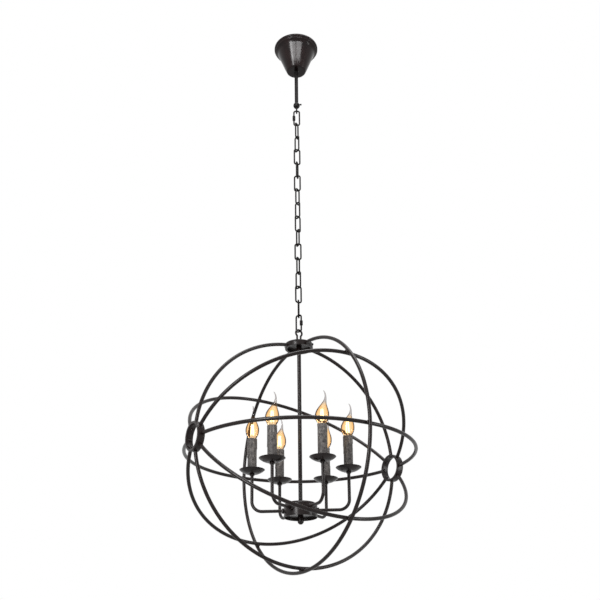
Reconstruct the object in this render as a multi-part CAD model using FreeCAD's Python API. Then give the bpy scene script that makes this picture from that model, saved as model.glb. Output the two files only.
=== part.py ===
"""Orb chandelier: a bell canopy, a rod and chain, and a caged sphere of five hoops round six candle lamps.

Millimetres, +Z up. The origin is the centre of the ceiling face, where the canopy and its mounting bar
touch the ceiling, and everything hangs below it. The mounting bar lies along X.
"""
import FreeCAD, Part
import math
import os

V = FreeCAD.Vector
UP = V(0, 0, 1)
ALONG_X = V(1, 0, 0)

# ---------------------------------------------------------------- fits
seat_gap = 0.3            # free gap between pieces that hang on or move past each other
running_fit = 0.06        # radial clearance where a piece turns or slides on another
sleeve_fit = 0.1          # radial clearance of a candle sleeve on its lamp holder
screw_tip_gap = 0.05      # a clamping screw's tip stands this far off what it presses on
overrun = 1.0             # how far a cutting shape passes the face that it opens

# ---------------------------------------------------------------- canopy and its mounting bar
canopy_radius = 61.5      # rolled rim against the ceiling
canopy_rim_depth = 5.0
canopy_step_in = 3.5      # second step, inwards from the rim
canopy_step_depth = 9.5
canopy_cove_in = 8.0      # hollow cove under the step, inwards from it
canopy_cove_depth = 8.5
canopy_cove_bow = 1.2     # how hollow the cove is at its middle
canopy_foot_radius = 31.0  # where the straight taper ends
canopy_height = 78.0
canopy_wall = 1.2
canopy_hole_gap = 0.3     # the canopy slides down the rod
canopy_foot_round = 10.0
bar_end_gap = 6.0         # mounting bar's end to the canopy's step
bar_width = 20.0
bar_thickness = 2.0
bar_ear_height = 10.0
ceiling_screw_spacing = 70.0
ceiling_slot_radius = 2.5
ceiling_slot_length = 14.0
side_screw_radius = 1.5
side_screw_head_radius = 2.9
side_screw_head_height = 1.8
side_screw_depth = 7.2    # below the ceiling
canopy_step_radius = canopy_radius - canopy_step_in
canopy_waist_radius = canopy_step_radius - canopy_cove_in
canopy_waist_depth = canopy_step_depth + canopy_cove_depth
canopy_foot_depth = canopy_height - canopy_foot_round
bar_length = 2 * (canopy_step_radius - bar_end_gap)

# ---------------------------------------------------------------- rod, ball and eye under the canopy
rod_radius = 5.0
rod_wall = 1.0
rod_nut_flats = 14.0
rod_nut_height = 5.0
ball_radius = 9.0
ball_half_height = 8.0
ball_depth = 190.5        # ball centre below the ceiling
ball_socket_depth = 7.0   # how far the rod and the eye's shank go into the ball
lock_screw_radius = 1.5
lock_screw_head_radius = 2.2
lock_screw_head_length = 4.0
lock_screw_rise = 3.0     # above the ball's centre
lock_screw_proud = 1.0    # its head's gap to the ball's side
eye_hole_radius = 4.5
eye_shank_radius = 3.5

# ---------------------------------------------------------------- chain
wire_radius = 2.1
link_inner_length = 41.9
link_half_width = 7.65    # link centre to the wire's centre line
link_corner = 4.4         # cut-off corner of the centre line
quick_gap = 6.0           # opening in a quick link's side, closed by its nut
quick_nut_flats = 8.0
quick_nut_length = 12.0
# turn of each link about the chain's line; the first and the last are quick links
link_turns = (0, 65, 130, 14, 76, 170, 55, 135, 36, 115, 0, 65, 137, 24, 86, 148)
link_count = len(link_turns)

# ---------------------------------------------------------------- hang loop and hubs
loop_radius = 9.0         # centre line of the loop's ring
loop_wire_radius = 2.5
loop_leg_offset = 5.3
loop_height = 31.5        # ring centre above the top hub
hub_radius = 36.0
hub_wall = 6.0
side_hub_length = 18.0
top_hub_height = 13.0
cap_thickness = 6.0
cap_screw_radius = 1.6
cap_screw_head_radius = 3.0
cap_screw_head_height = 2.2
cap_screw_bite = 6.0      # how far a screw goes into the cap's edge
cap_screw_angles = (45, 135, 225, 315)
hub_screw_radius = 2.5
hub_screw_head_radius = 4.4
hub_screw_head_height = 2.6
hub_screw_bite = 8.0      # how far a screw goes into the end of a hoop bar

# ---------------------------------------------------------------- hoops
orb_turn = 31.7           # the side hubs' axis is turned this much from the mounting bar
hoop_radius = 286.0       # centre line of the four hoops that meet at the side hubs
hoop_bar_radius = 4.5
hoop_tilts = (0.0, 47.5, 90.0, 134.5)
weld_gap = 0.6            # the fifth hoop stands this far off the hoops that it crosses
weld_radius = 4.2
top_hub_drop = 0.5        # top hub's middle below the top of the hoops' centre line
outer_blend_angle = 45.0  # height angle above which the fifth hoop flattens towards the top hub

# ---------------------------------------------------------------- stem and drum
coupler_radius = 7.0
coupler_height = 18.0
stem_radius = 5.0
drum_radius = 41.0
drum_shoulder = 10.0
drum_wall = 1.5
drum_height = 36.0
drum_drop = 127.0         # drum's top below the orb's centre
cover_recess = 6.0
cover_thickness = 1.5
stem_nut_flats = 16.0
stem_nut_height = 4.0
finial_radius = 7.0
finial_barrel_length = 11.0
finial_collar_radius = 7.8
finial_collar_length = 4.8
finial_shoulder_drop = 3.0  # where the nose is as wide as the barrel
finial_end_radius = 3.5
finial_length = 22.0
finial_bore_depth = 12.0
stem_end_gap = 1.0        # stem's end to the bottom of the finial's bore

# ---------------------------------------------------------------- arms and candles
candle_count = 6
first_candle_angle = 56.5
candle_circle = 119.5     # stem axis to candle axis
arm_radius = 4.0
arm_bend = 25.0
arm_end_in_drum = 33.0    # stem axis to the arm's inner end
arm_nut_flats = 12.0
arm_nut_height = 4.5
cup_radius = 32.0
cup_depth = 11.0
cup_wall = 1.2
cup_floor_edge = 0.8      # flat floor, outwards from the candle sleeve
cup_bow_out = 1.5         # how far the cup's side swells past halfway between floor and rim
cup_bow_rise = 0.3        # where it does so, as a share of the cup's depth
cup_bow_taper = 0.4       # how much of the wall the swell takes up inwards
cup_floor_drop = 49.5     # cup's underside below the orb's centre
sleeve_radius = 12.5
sleeve_wall = 1.2
sleeve_length = 88.8
cup_floor_radius = sleeve_radius + cup_floor_edge
holder_inset = 2.0        # lamp holder's top below the sleeve's top
holder_socket_depth = 24.0
holder_grip = 9.0         # arm's end inside the lamp holder
lamp_cap_radius = 6.9
lamp_cap_length = 21.0
lamp_contact_radius = 3.0
lamp_contact_height = 2.0
lamp_seat = 0.5           # glass above the lamp holder
lamp_tip_turns = (-30, 40, -70, 0, 0, 0)
# height above the neck, sideways lean and radius of the flame-shaped glass
flame_outline = (
    (0, 0, 8.6), (6, 0, 11.6), (14, 0, 15.6), (23, 0, 17.4), (32, 0.6, 16.6), (42, 2.0, 12.6),
    (50, 3.8, 8.4), (58, 6.4, 4.8), (66, 8.6, 2.7), (74, 9.2, 1.8), (82, 7.6, 1.4), (88, 4.2, 1.1),
)

# ---------------------------------------------------------------- places that follow from the sizes
eye_ring_radius = eye_hole_radius + wire_radius
eye_z = -ball_depth - ball_half_height - eye_ring_radius - wire_radius
chain_top = eye_z - eye_hole_radius
link_pitch = link_inner_length - seat_gap
chain_bottom = chain_top - link_count * link_pitch
loop_z = chain_bottom + seat_gap - (loop_radius - loop_wire_radius)
hub_top_z = loop_z - loop_height
top_hub_rise = hoop_radius - top_hub_drop
orb_z = hub_top_z - top_hub_height / 2 - top_hub_rise
outer_radius = hoop_radius + 2 * hoop_bar_radius + weld_gap
drum_top = orb_z - drum_drop
drum_bottom = drum_top - drum_height
arm_z = drum_top - drum_height / 2
cover_z = drum_bottom + cover_recess
cup_floor_z = orb_z - cup_floor_drop
cup_rim_z = cup_floor_z + cup_depth
holder_bottom = cup_floor_z + cup_wall
sleeve_top = holder_bottom + sleeve_length
holder_top = sleeve_top - holder_inset
orb_centre = V(0, 0, orb_z)


# ---------------------------------------------------------------- shapes that repeat
def rod(radius, start, direction, length):
    return Part.makeCylinder(radius, length, start, direction)


def pipe(outer, inner, start, direction, length):
    return rod(outer, start, direction, length).cut(rod(inner, start, direction, length))


def between(radius, start, end):
    return rod(radius, start, end - start, (end - start).Length)


def turned(outline):
    """Solid of revolution about Z from a closed outline of (radius, height) points and arcs."""
    edges = []
    for piece in outline:
        ends = [V(r, 0, z) for r, z in piece]
        if len(ends) == 3:
            edges.append(Part.Arc(*ends).toShape())
        else:
            edges.append(Part.makeLine(*ends))
    return Part.Face(Part.Wire(edges)).revolve(V(0, 0, 0), UP, 360)


def bent_bar(radius, centre, axis, start, angle):
    """Round bar bent to an arc: it begins at start and turns about the axis through centre."""
    heading = axis.cross(start - centre)
    end_face = Part.Face(Part.Wire(Part.makeCircle(radius, start, heading)))
    return end_face.revolve(centre, axis, angle)


def hex_nut(flats, height, bore, start, direction):
    corner = flats / math.sqrt(3)
    points = [heading(60 * k) * corner for k in range(7)]
    nut = Part.Face(Part.makePolygon(points)).extrude(V(0, 0, height))
    nut.Placement = FreeCAD.Placement(start, FreeCAD.Rotation(UP, direction))
    return nut.cut(rod(bore, start, direction, height))


def screw(radius, length, head_radius, head_height, head_seat, direction):
    """Screw whose head rests on head_seat and whose shank points along direction."""
    shank = rod(radius, head_seat, direction, length)
    head = rod(head_radius, head_seat - direction * head_height, direction, head_height)
    return shank.fuse(head).removeSplitter()


def heading(angle):
    return V(math.cos(math.radians(angle)), math.sin(math.radians(angle)), 0)


def turn_orb(shape):
    return shape.rotated(V(0, 0, 0), UP, orb_turn)


def save(name, *solids):
    shape = solids[0] if len(solids) == 1 else Part.makeCompound(list(solids))
    shape.exportStep("parts/" + name + ".step")


# ---------------------------------------------------------------- canopy
def bell(inset, open_depth):
    """Bell outline turned to a solid, drawn inset from the outside face."""
    floor = -canopy_height + inset
    foot = canopy_foot_radius - inset
    corner = canopy_foot_round * (1 - math.sqrt(0.5))
    rim = canopy_radius - inset
    rim_floor = -canopy_rim_depth + inset
    step = canopy_step_radius - inset
    waist = canopy_waist_radius - inset
    slope = math.hypot(canopy_cove_in, canopy_cove_depth)
    cove = ((step + waist) / 2 - canopy_cove_bow * canopy_cove_depth / slope,
            -(canopy_step_depth + canopy_waist_depth) / 2 + canopy_cove_bow * canopy_cove_in / slope)
    return turned([
        [(0, open_depth), (rim, open_depth)],
        [(rim, open_depth), (rim, rim_floor)],
        [(rim, rim_floor), (step, rim_floor)],
        [(step, rim_floor), (step, -canopy_step_depth)],
        [(step, -canopy_step_depth), cove, (waist, -canopy_waist_depth)],
        [(waist, -canopy_waist_depth), (foot, -canopy_foot_depth)],
        [(foot, -canopy_foot_depth), (foot - corner, -canopy_height + inset + corner),
         (foot - canopy_foot_round, floor)],
        [(foot - canopy_foot_round, floor), (0, floor)],
        [(0, floor), (0, open_depth)],
    ])


def side_screws():
    seat = canopy_step_radius
    length = seat - bar_length / 2 - screw_tip_gap
    return [screw(side_screw_radius, length, side_screw_head_radius, side_screw_head_height,
                  V(side * seat, 0, -side_screw_depth), V(-side, 0, 0)) for side in (1, -1)]


def canopy():
    shell = bell(0, 0).cut(bell(canopy_wall, overrun))
    hole_floor = V(0, 0, -canopy_height - overrun)
    shell = shell.cut(rod(rod_radius + canopy_hole_gap, hole_floor, UP, canopy_wall + 2 * overrun))
    for fastener in side_screws():
        shell = shell.cut(fastener)
    return shell


def mounting_bar():
    corner = V(-bar_length / 2, -bar_width / 2, -bar_thickness)
    strip = Part.makeBox(bar_length, bar_width, bar_thickness, corner)
    for side in (1, -1):
        ear_x = side * bar_length / 2 - (bar_thickness if side > 0 else 0)
        strip = strip.fuse(Part.makeBox(bar_thickness, bar_width, bar_ear_height,
                                        V(ear_x, -bar_width / 2, -bar_ear_height)))
        slot_half = ceiling_slot_length / 2 - ceiling_slot_radius
        middle = side * ceiling_screw_spacing / 2
        slot = Part.makeBox(2 * slot_half, 2 * ceiling_slot_radius, bar_thickness,
                            V(middle - slot_half, -ceiling_slot_radius, -bar_thickness))
        for end in (-slot_half, slot_half):
            slot = slot.fuse(rod(ceiling_slot_radius, V(middle + end, 0, -bar_thickness), UP, bar_thickness))
        strip = strip.cut(slot)
    strip = strip.cut(rod(rod_radius, V(0, 0, -bar_thickness), UP, bar_thickness))
    return strip.removeSplitter()


# ---------------------------------------------------------------- rod, ball, lock screw and eye
def rod_end():
    return -ball_depth + ball_half_height - ball_socket_depth


def suspension_rod():
    return pipe(rod_radius, rod_radius - rod_wall, V(0, 0, rod_end()), UP, -rod_end())


def eye_bolt():
    ring = Part.makeTorus(eye_ring_radius, wire_radius, V(0, 0, eye_z), ALONG_X)
    shank = rod(eye_shank_radius, V(0, 0, eye_z + eye_ring_radius), UP,
                wire_radius + ball_socket_depth)
    hole = rod(eye_hole_radius, V(-eye_shank_radius, 0, eye_z), ALONG_X, 2 * eye_shank_radius)
    return ring.fuse(shank).cut(hole).removeSplitter()


def lock_screw():
    tip = rod_radius + screw_tip_gap
    head_start = ball_radius + lock_screw_proud
    height = -ball_depth + lock_screw_rise
    shank = rod(lock_screw_radius, V(tip, 0, height), ALONG_X, head_start - tip)
    head = rod(lock_screw_head_radius, V(head_start, 0, height), ALONG_X, lock_screw_head_length)
    return shank.fuse(head).removeSplitter()


def ball():
    body = Part.makeSphere(ball_radius, V(0, 0, -ball_depth))
    body = body.common(rod(ball_radius, V(0, 0, -ball_depth - ball_half_height), UP, 2 * ball_half_height))
    body = body.cut(rod(rod_radius, V(0, 0, rod_end()), UP, ball_socket_depth))
    shank_end = -ball_depth - ball_half_height
    body = body.cut(rod(eye_shank_radius, V(0, 0, shank_end), UP, ball_socket_depth))
    hole_start = V(rod_radius - rod_wall, 0, -ball_depth + lock_screw_rise)
    return body.cut(rod(lock_screw_radius + running_fit, hole_start, ALONG_X, ball_radius))


# ---------------------------------------------------------------- chain
def link_top(index):
    """Underside of the link's top wire."""
    return chain_top + seat_gap - index * link_pitch


def side_middle(index, side):
    height = link_top(index) - link_inner_length / 2
    return heading(link_turns[index]) * (side * link_half_width) + UP * height


def half_link(index, way, gap):
    """Upper (way 1) or lower (way -1) half of a link: round wire along a centre line with cut corners."""
    reach = link_half_width
    rise = way * (link_inner_length / 2 + wire_radius)
    cut = link_corner
    flat = [(-reach, way * gap / 2), (-reach, rise - way * cut), (-reach + cut, rise),
            (reach - cut, rise), (reach, rise - way * cut), (reach, 0)]
    middle = side_middle(index, 0)
    points = [middle + heading(link_turns[index]) * x + UP * z for x, z in flat]
    profile = Part.Wire(Part.makeCircle(wire_radius, points[0], UP))
    return Part.makePolygon(points).makePipeShell([profile], True, False, 1)


def link(index, gap=0.0):
    """Chain link of round wire; a quick link has a gap in one side."""
    return half_link(index, 1, gap).fuse(half_link(index, -1, gap)).removeSplitter()


def quick_nut(index):
    start = side_middle(index, -1) - UP * quick_nut_length / 2
    return hex_nut(quick_nut_flats, quick_nut_length, wire_radius + running_fit, start, UP)


# ---------------------------------------------------------------- hubs and hoops, hub axis on X
def hoop_heading(tilt):
    """Direction in which a hoop leaves the side hubs, square to the hub axis."""
    return V(0, -math.sin(math.radians(tilt)), math.cos(math.radians(tilt)))


def side_hub(side):
    middle = V(side * hoop_radius, 0, orb_z)
    start = middle - ALONG_X * side_hub_length / 2
    return pipe(hub_radius, hub_radius - hub_wall, start, ALONG_X, side_hub_length)


def hub_screws(side):
    """Eight screws from inside a side hub into the ends of the hoop bars."""
    wall_middle = hub_radius - hub_wall / 2
    reach = math.sqrt(hoop_radius ** 2 - wall_middle ** 2)
    screws = []
    for tilt in hoop_tilts:
        for way in (1, -1):
            out = hoop_heading(tilt) * way
            seat = V(side * reach, 0, orb_z) + out * (hub_radius - hub_wall)
            screws.append(screw(hub_screw_radius, hub_wall + hub_screw_bite, hub_screw_head_radius,
                                hub_screw_head_height, seat, out))
    return screws


def half_hoop(tilt, way):
    """Half circle of bar from one side hub over to the other, its ends still whole."""
    out = hoop_heading(tilt) * way
    return bent_bar(hoop_bar_radius, orb_centre, ALONG_X.cross(out), orb_centre + ALONG_X * hoop_radius, 180)


def trim_at(shape, cutters):
    for cutter in cutters:
        shape = shape.cut(cutter)
    return list(shape.Solids)


def hub_cutters():
    reach = 3 * side_hub_length
    return [rod(hub_radius, V(side * hoop_radius - reach / 2, 0, orb_z), ALONG_X, reach) for side in (1, -1)]


def top_cutter():
    return rod(hub_radius, V(0, 0, hub_top_z - 2 * top_hub_height), UP, 3 * top_hub_height)


def outer_hoop():
    """Fifth hoop, outside the others: a circle below, flattened above so that it meets the top hub."""
    blend = math.radians(outer_blend_angle)
    entry_y = hub_radius
    entry = math.hypot(entry_y, top_hub_rise)
    spread = math.atan2(top_hub_rise, entry_y) - blend
    shift = (entry ** 2 - outer_radius ** 2) / (2 * (entry * math.cos(spread) - outer_radius))
    bar = None
    for side in (1, -1):
        axis = V(side, 0, 0)
        bottom = orb_centre - UP * outer_radius
        start = orb_centre + V(0, side * math.cos(blend), math.sin(blend)) * outer_radius
        lower = bent_bar(hoop_bar_radius, orb_centre, axis, bottom, 90 + outer_blend_angle)
        upper_centre = orb_centre + V(0, side * math.cos(blend), math.sin(blend)) * shift
        upper = bent_bar(hoop_bar_radius, upper_centre, axis, start, 90 - outer_blend_angle)
        half = lower.fuse(upper)
        bar = half if bar is None else bar.fuse(half)
    return bar.cut(top_cutter()).removeSplitter()


def weld_beads(hoops):
    """Weld between the fifth hoop and every bar that it crosses, except at the top hub."""
    beads = []
    for tilt in hoop_tilts:
        for way in (1, -1):
            if tilt == 0 and way > 0:
                continue
            out = hoop_heading(tilt) * way
            bead = rod(weld_radius, orb_centre + out * hoop_radius, out, outer_radius - hoop_radius)
            for hoop in hoops:
                bead = bead.cut(hoop)
            beads.append(max(bead.Solids, key=lambda solid: solid.Volume))
    return beads


def top_hub():
    return pipe(hub_radius, hub_radius - hub_wall, V(0, 0, hub_top_z - top_hub_height), UP, top_hub_height)


def cap_screws():
    """Four screws through the top hub's wall into the edge of its cap."""
    height = hub_top_z - cap_thickness / 2
    return [screw(cap_screw_radius, hub_wall + cap_screw_bite, cap_screw_head_radius, cap_screw_head_height,
                  heading(angle) * hub_radius + UP * height, -heading(angle)) for angle in cap_screw_angles]


def hub_cap():
    return rod(hub_radius - hub_wall, V(0, 0, hub_top_z - cap_thickness), UP, cap_thickness)


def hang_loop():
    """Loop of bent bar on the top hub, its two legs side by side."""
    centre = V(0, 0, loop_z)
    foot_angle = math.asin(loop_leg_offset / loop_radius)
    foot = V(loop_leg_offset, 0, loop_z - loop_radius * math.cos(foot_angle))
    body = bent_bar(loop_wire_radius, centre, V(0, -1, 0), foot, 360 - 2 * math.degrees(foot_angle))
    for side in (1, -1):
        knee = V(side * foot.x, 0, foot.z)
        body = body.fuse(between(loop_wire_radius, V(knee.x, 0, hub_top_z), knee))
        body = body.fuse(Part.makeSphere(loop_wire_radius, knee))
    return body.removeSplitter()


# ---------------------------------------------------------------- stem, drum and finial
def stem():
    top = hub_top_z - cap_thickness
    bottom = cover_z - finial_bore_depth + stem_end_gap
    return rod(stem_radius, V(0, 0, bottom), UP, top - bottom)


def coupler():
    start = V(0, 0, hub_top_z - cap_thickness - coupler_height)
    return pipe(coupler_radius, stem_radius, start, UP, coupler_height)


def stem_nuts():
    starts = (drum_top, drum_top - drum_wall - stem_nut_height, cover_z + cover_thickness)
    return [hex_nut(stem_nut_flats, stem_nut_height, stem_radius, V(0, 0, z), UP) for z in starts]


def drum():
    inner = drum_radius - drum_wall
    inner_round = drum_shoulder - drum_wall
    shoulder = drum_radius - drum_shoulder
    bow = math.sqrt(0.5)
    body = turned([
        [(stem_radius, drum_top), (shoulder, drum_top)],
        [(shoulder, drum_top), (shoulder + drum_shoulder * bow, drum_top - drum_shoulder * (1 - bow)),
         (drum_radius, drum_top - drum_shoulder)],
        [(drum_radius, drum_top - drum_shoulder), (drum_radius, drum_bottom)],
        [(drum_radius, drum_bottom), (inner, drum_bottom)],
        [(inner, drum_bottom), (inner, drum_top - drum_shoulder)],
        [(inner, drum_top - drum_shoulder),
         (shoulder + inner_round * bow, drum_top - drum_shoulder + inner_round * bow),
         (shoulder, drum_top - drum_wall)],
        [(shoulder, drum_top - drum_wall), (stem_radius, drum_top - drum_wall)],
        [(stem_radius, drum_top - drum_wall), (stem_radius, drum_top)],
    ])
    for angle in candle_angles():
        hole_start = heading(angle) * (inner - overrun) + UP * arm_z
        body = body.cut(rod(arm_radius, hole_start, heading(angle), drum_wall + 2 * overrun))
    return body


def drum_cover():
    outside = drum_radius - drum_wall - seat_gap
    return pipe(outside, stem_radius + seat_gap, V(0, 0, cover_z), UP, cover_thickness)


def finial():
    """Cap nut under the drum: a plain barrel, a collar and a blunt nose."""
    collar_top = cover_z - finial_barrel_length
    collar_bottom = collar_top - finial_collar_length
    end = cover_z - finial_length
    body = turned([
        [(0, cover_z), (finial_radius, cover_z)],
        [(finial_radius, cover_z), (finial_radius, collar_top)],
        [(finial_radius, collar_top), (finial_collar_radius, collar_top)],
        [(finial_collar_radius, collar_top), (finial_collar_radius, collar_bottom)],
        [(finial_collar_radius, collar_bottom), (finial_radius, collar_bottom - finial_shoulder_drop),
         (finial_end_radius, end)],
        [(finial_end_radius, end), (0, end)],
        [(0, end), (0, cover_z)],
    ])
    bore_floor = V(0, 0, cover_z - finial_bore_depth)
    return body.cut(rod(stem_radius + running_fit, bore_floor, UP, finial_bore_depth))


# ---------------------------------------------------------------- arms and candles, built at angle 0
def candle_angles():
    return [first_candle_angle + k * 360 / candle_count for k in range(candle_count)]


def arm_top():
    return holder_bottom + holder_grip


def arm():
    bend_start = V(candle_circle - arm_bend, 0, arm_z)
    bend_centre = bend_start + UP * arm_bend
    bend_end = V(candle_circle, 0, arm_z + arm_bend)
    body = between(arm_radius, V(arm_end_in_drum, 0, arm_z), bend_start)
    body = body.fuse(bent_bar(arm_radius, bend_centre, V(0, -1, 0), bend_start, 90))
    return body.fuse(between(arm_radius, bend_end, V(candle_circle, 0, arm_top()))).removeSplitter()


def arm_nuts():
    """Lock nuts outside and inside the drum's wall, and one under the drip cup."""
    corner = arm_nut_flats / math.sqrt(3)
    inner = drum_radius - drum_wall
    inside = math.sqrt(inner ** 2 - corner ** 2) - arm_nut_height
    places = [(V(drum_radius, 0, arm_z), ALONG_X), (V(inside, 0, arm_z), ALONG_X),
              (V(candle_circle, 0, cup_floor_z - arm_nut_height), UP)]
    return [hex_nut(arm_nut_flats, arm_nut_height, arm_radius, start, way) for start, way in places]


def drip_cup():
    bow_r = (cup_radius + cup_floor_radius) / 2 + cup_bow_out
    bow_z = cup_floor_z + cup_bow_rise * cup_depth
    body = turned([
        [(arm_radius, cup_floor_z), (cup_floor_radius, cup_floor_z)],
        [(cup_floor_radius, cup_floor_z), (bow_r, bow_z), (cup_radius, cup_rim_z)],
        [(cup_radius, cup_rim_z), (cup_radius - cup_wall, cup_rim_z)],
        [(cup_radius - cup_wall, cup_rim_z), (bow_r - cup_bow_taper * cup_wall, bow_z + cup_wall),
         (cup_floor_radius, cup_floor_z + cup_wall)],
        [(cup_floor_radius, cup_floor_z + cup_wall), (arm_radius, cup_floor_z + cup_wall)],
        [(arm_radius, cup_floor_z + cup_wall), (arm_radius, cup_floor_z)],
    ])
    return body.translated(V(candle_circle, 0, 0))


def candle_sleeve():
    start = V(candle_circle, 0, holder_bottom)
    return pipe(sleeve_radius, sleeve_radius - sleeve_wall, start, UP, sleeve_length)


def lamp_holder():
    start = V(candle_circle, 0, holder_bottom)
    body = rod(sleeve_radius - sleeve_wall - sleeve_fit, start, UP, holder_top - holder_bottom)
    body = body.cut(rod(arm_radius, start, UP, holder_grip))
    socket = V(candle_circle, 0, holder_top - holder_socket_depth)
    return body.cut(rod(lamp_cap_radius + running_fit, socket, UP, holder_socket_depth))


def lamp(index):
    """Flame-tipped lamp: blown glass with a bent tail, and its screw cap below."""
    base = holder_top + lamp_seat
    rings = [Part.Wire(Part.makeCircle(radius, V(lean, 0, base + height), UP))
             for height, lean, radius in flame_outline]
    glass = Part.makeLoft(rings, True, False)
    cap = rod(lamp_cap_radius, V(0, 0, base - lamp_cap_length), UP, lamp_cap_length)
    contact_floor = V(0, 0, base - lamp_cap_length - lamp_contact_height)
    contact = rod(lamp_contact_radius, contact_floor, UP, lamp_contact_height)
    solids = [glass, cap.fuse(contact).removeSplitter()]
    turn = lamp_tip_turns[index % len(lamp_tip_turns)] - candle_angles()[index]
    return [solid.rotated(V(0, 0, 0), UP, turn).translated(V(candle_circle, 0, 0)) for solid in solids]


def at_candle(shape, index):
    return shape.rotated(V(0, 0, 0), UP, candle_angles()[index])


def at_all_candles(shapes):
    return [at_candle(shape, index) for index in range(candle_count) for shape in shapes]


# ---------------------------------------------------------------- build
def build_suspension():
    save("mounting_bar", mounting_bar())
    save("rod_nut", hex_nut(rod_nut_flats, rod_nut_height, rod_radius,
                            V(0, 0, -bar_thickness - rod_nut_height), UP))
    save("canopy", canopy())
    save("canopy_screws", *side_screws())
    save("suspension_rod", suspension_rod())
    save("ball", ball())
    save("lock_screw", lock_screw())
    save("eye_bolt", eye_bolt())


def build_chain():
    last = link_count - 1
    for index in range(link_count):
        if index in (0, last):
            name = "top" if index == 0 else "bottom"
            save("quick_link_" + name, link(index, quick_gap))
            save("quick_nut_" + name, quick_nut(index))
        else:
            save("chain_link_%02d" % (index + 1), link(index))


def build_orb():
    screws = [hub_screws(1), hub_screws(-1)]
    hoops = []
    for tilt in hoop_tilts:
        cutters = hub_cutters() + screws[0] + screws[1]
        halves = [half_hoop(tilt, way) for way in (1, -1)]
        if tilt == 0:
            halves[0] = halves[0].cut(top_cutter())
        hoops.append([solid for half in halves for solid in trim_at(half, cutters)])
    outer = outer_hoop()
    for number, solids in enumerate(hoops, 1):
        save("hoop_%d" % number, *[turn_orb(solid) for solid in solids])
    save("hoop_5", turn_orb(outer))
    beads = weld_beads([solid for solids in hoops for solid in solids] + [outer])
    save("weld_beads", *[turn_orb(bead) for bead in beads])
    for side, name, own in ((1, "right", screws[0]), (-1, "left", screws[1])):
        save("hub_" + name, turn_orb(trim_at(side_hub(side), own)[0]))
    save("hub_screws", *[turn_orb(one) for one in screws[0] + screws[1] + cap_screws()])
    save("hub_top", turn_orb(trim_at(top_hub(), cap_screws())[0]))
    save("hub_cap", turn_orb(trim_at(hub_cap(), cap_screws())[0]))
    save("hang_loop", turn_orb(hang_loop()))


def build_centre():
    save("coupler", coupler())
    save("stem", stem())
    save("stem_nuts", *stem_nuts())
    save("drum", drum())
    save("drum_cover", drum_cover())
    save("finial", finial())


def build_candles():
    for index in range(candle_count):
        save("arm_%d" % (index + 1), at_candle(arm(), index))
        save("lamp_%d" % (index + 1), *[at_candle(piece, index) for piece in lamp(index)])
    save("arm_nuts", *at_all_candles(arm_nuts()))
    save("drip_cups", *at_all_candles([drip_cup()]))
    save("candle_sleeves", *at_all_candles([candle_sleeve()]))
    save("lamp_holders", *at_all_candles([lamp_holder()]))


os.makedirs("parts", exist_ok=True)
build_suspension()
build_chain()
build_orb()
build_centre()
build_candles()
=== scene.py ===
"""Looks of the orb chandelier: smooth bars, bent wire links, dripped candle sleeves and flame-tipped lamps.

Metres, in the CAD model's frame: +Z up, origin at the ceiling, the camera on the -Y side.
"""
import math
import random

import bmesh
import bpy
from mathutils import Matrix, Vector


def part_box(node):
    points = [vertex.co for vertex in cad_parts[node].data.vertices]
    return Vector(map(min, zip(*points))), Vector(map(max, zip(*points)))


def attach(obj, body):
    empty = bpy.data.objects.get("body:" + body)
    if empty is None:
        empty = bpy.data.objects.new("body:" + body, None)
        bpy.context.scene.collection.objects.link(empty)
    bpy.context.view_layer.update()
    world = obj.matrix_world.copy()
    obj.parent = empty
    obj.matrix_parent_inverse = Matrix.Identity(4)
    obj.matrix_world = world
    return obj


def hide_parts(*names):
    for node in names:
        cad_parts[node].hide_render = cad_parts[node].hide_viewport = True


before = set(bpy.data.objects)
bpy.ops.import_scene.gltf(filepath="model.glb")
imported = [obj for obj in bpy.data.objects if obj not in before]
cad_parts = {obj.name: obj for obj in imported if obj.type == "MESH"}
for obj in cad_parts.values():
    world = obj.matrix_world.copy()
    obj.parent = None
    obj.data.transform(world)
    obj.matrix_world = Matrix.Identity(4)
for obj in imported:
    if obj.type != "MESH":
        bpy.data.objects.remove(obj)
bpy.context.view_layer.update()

MM = 0.001
X, Y, Z = Vector((1, 0, 0)), Vector((0, 1, 0)), Vector((0, 0, 1))
ORIGIN = Vector((0, 0, 0))

# ------------------------------------------------------------ sizes, those of the CAD model
ORB_TURN = math.radians(31.7)
HOOP_RADIUS = 286 * MM
HOOP_BAR = 4.5 * MM
HOOP_TILTS = (0.0, 47.5, 90.0, 134.5)
WELD_GAP = 0.6 * MM
OUTER_RADIUS = HOOP_RADIUS + 2 * HOOP_BAR + WELD_GAP
OUTER_BLEND = math.radians(45)
HUB_RADIUS = 36 * MM
HUB_BORE = 30 * MM
HUB_WALL_MIDDLE = HUB_RADIUS - 3 * MM
SIDE_HUB_LENGTH = 18 * MM
TOP_HUB_LENGTH = 13 * MM
TOP_HUB_RISE = 285.5 * MM
ROD_RADIUS = 5 * MM
ROD_BORE = 4 * MM
BALL_RADIUS = 9.0 * MM
EYE_RADIUS = 4.5 * MM
WIRE = 2.1 * MM
LINK_INNER = 41.9 * MM
LINK_HALF_WIDTH = 7.65 * MM
LINK_CORNER = 5.4 * MM
LINK_TURNS = (0, 65, 130, 14, 76, 170, 55, 135, 36, 115, 0, 65, 137, 24, 86, 148)
QUICK_GAP = 6 * MM
QUICK_NUT_FLATS = 8 * MM
QUICK_NUT_LENGTH = 12 * MM
STEM_RADIUS = 5 * MM
DRUM_RADIUS = 41 * MM
DRUM_WALL = 1.5 * MM
CANDLE_CIRCLE = 119.5 * MM
FIRST_CANDLE = 56.5
CANDLES = 6
ARM_BAR = 4 * MM
ARM_BEND = 25 * MM
ARM_START = 33 * MM
ARM_NUT_FLATS = 12 * MM
ARM_NUT_HEIGHT = 4.5 * MM
SLEEVE_RADIUS = 12.5 * MM
SLEEVE_LENGTH = 88 * MM
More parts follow.
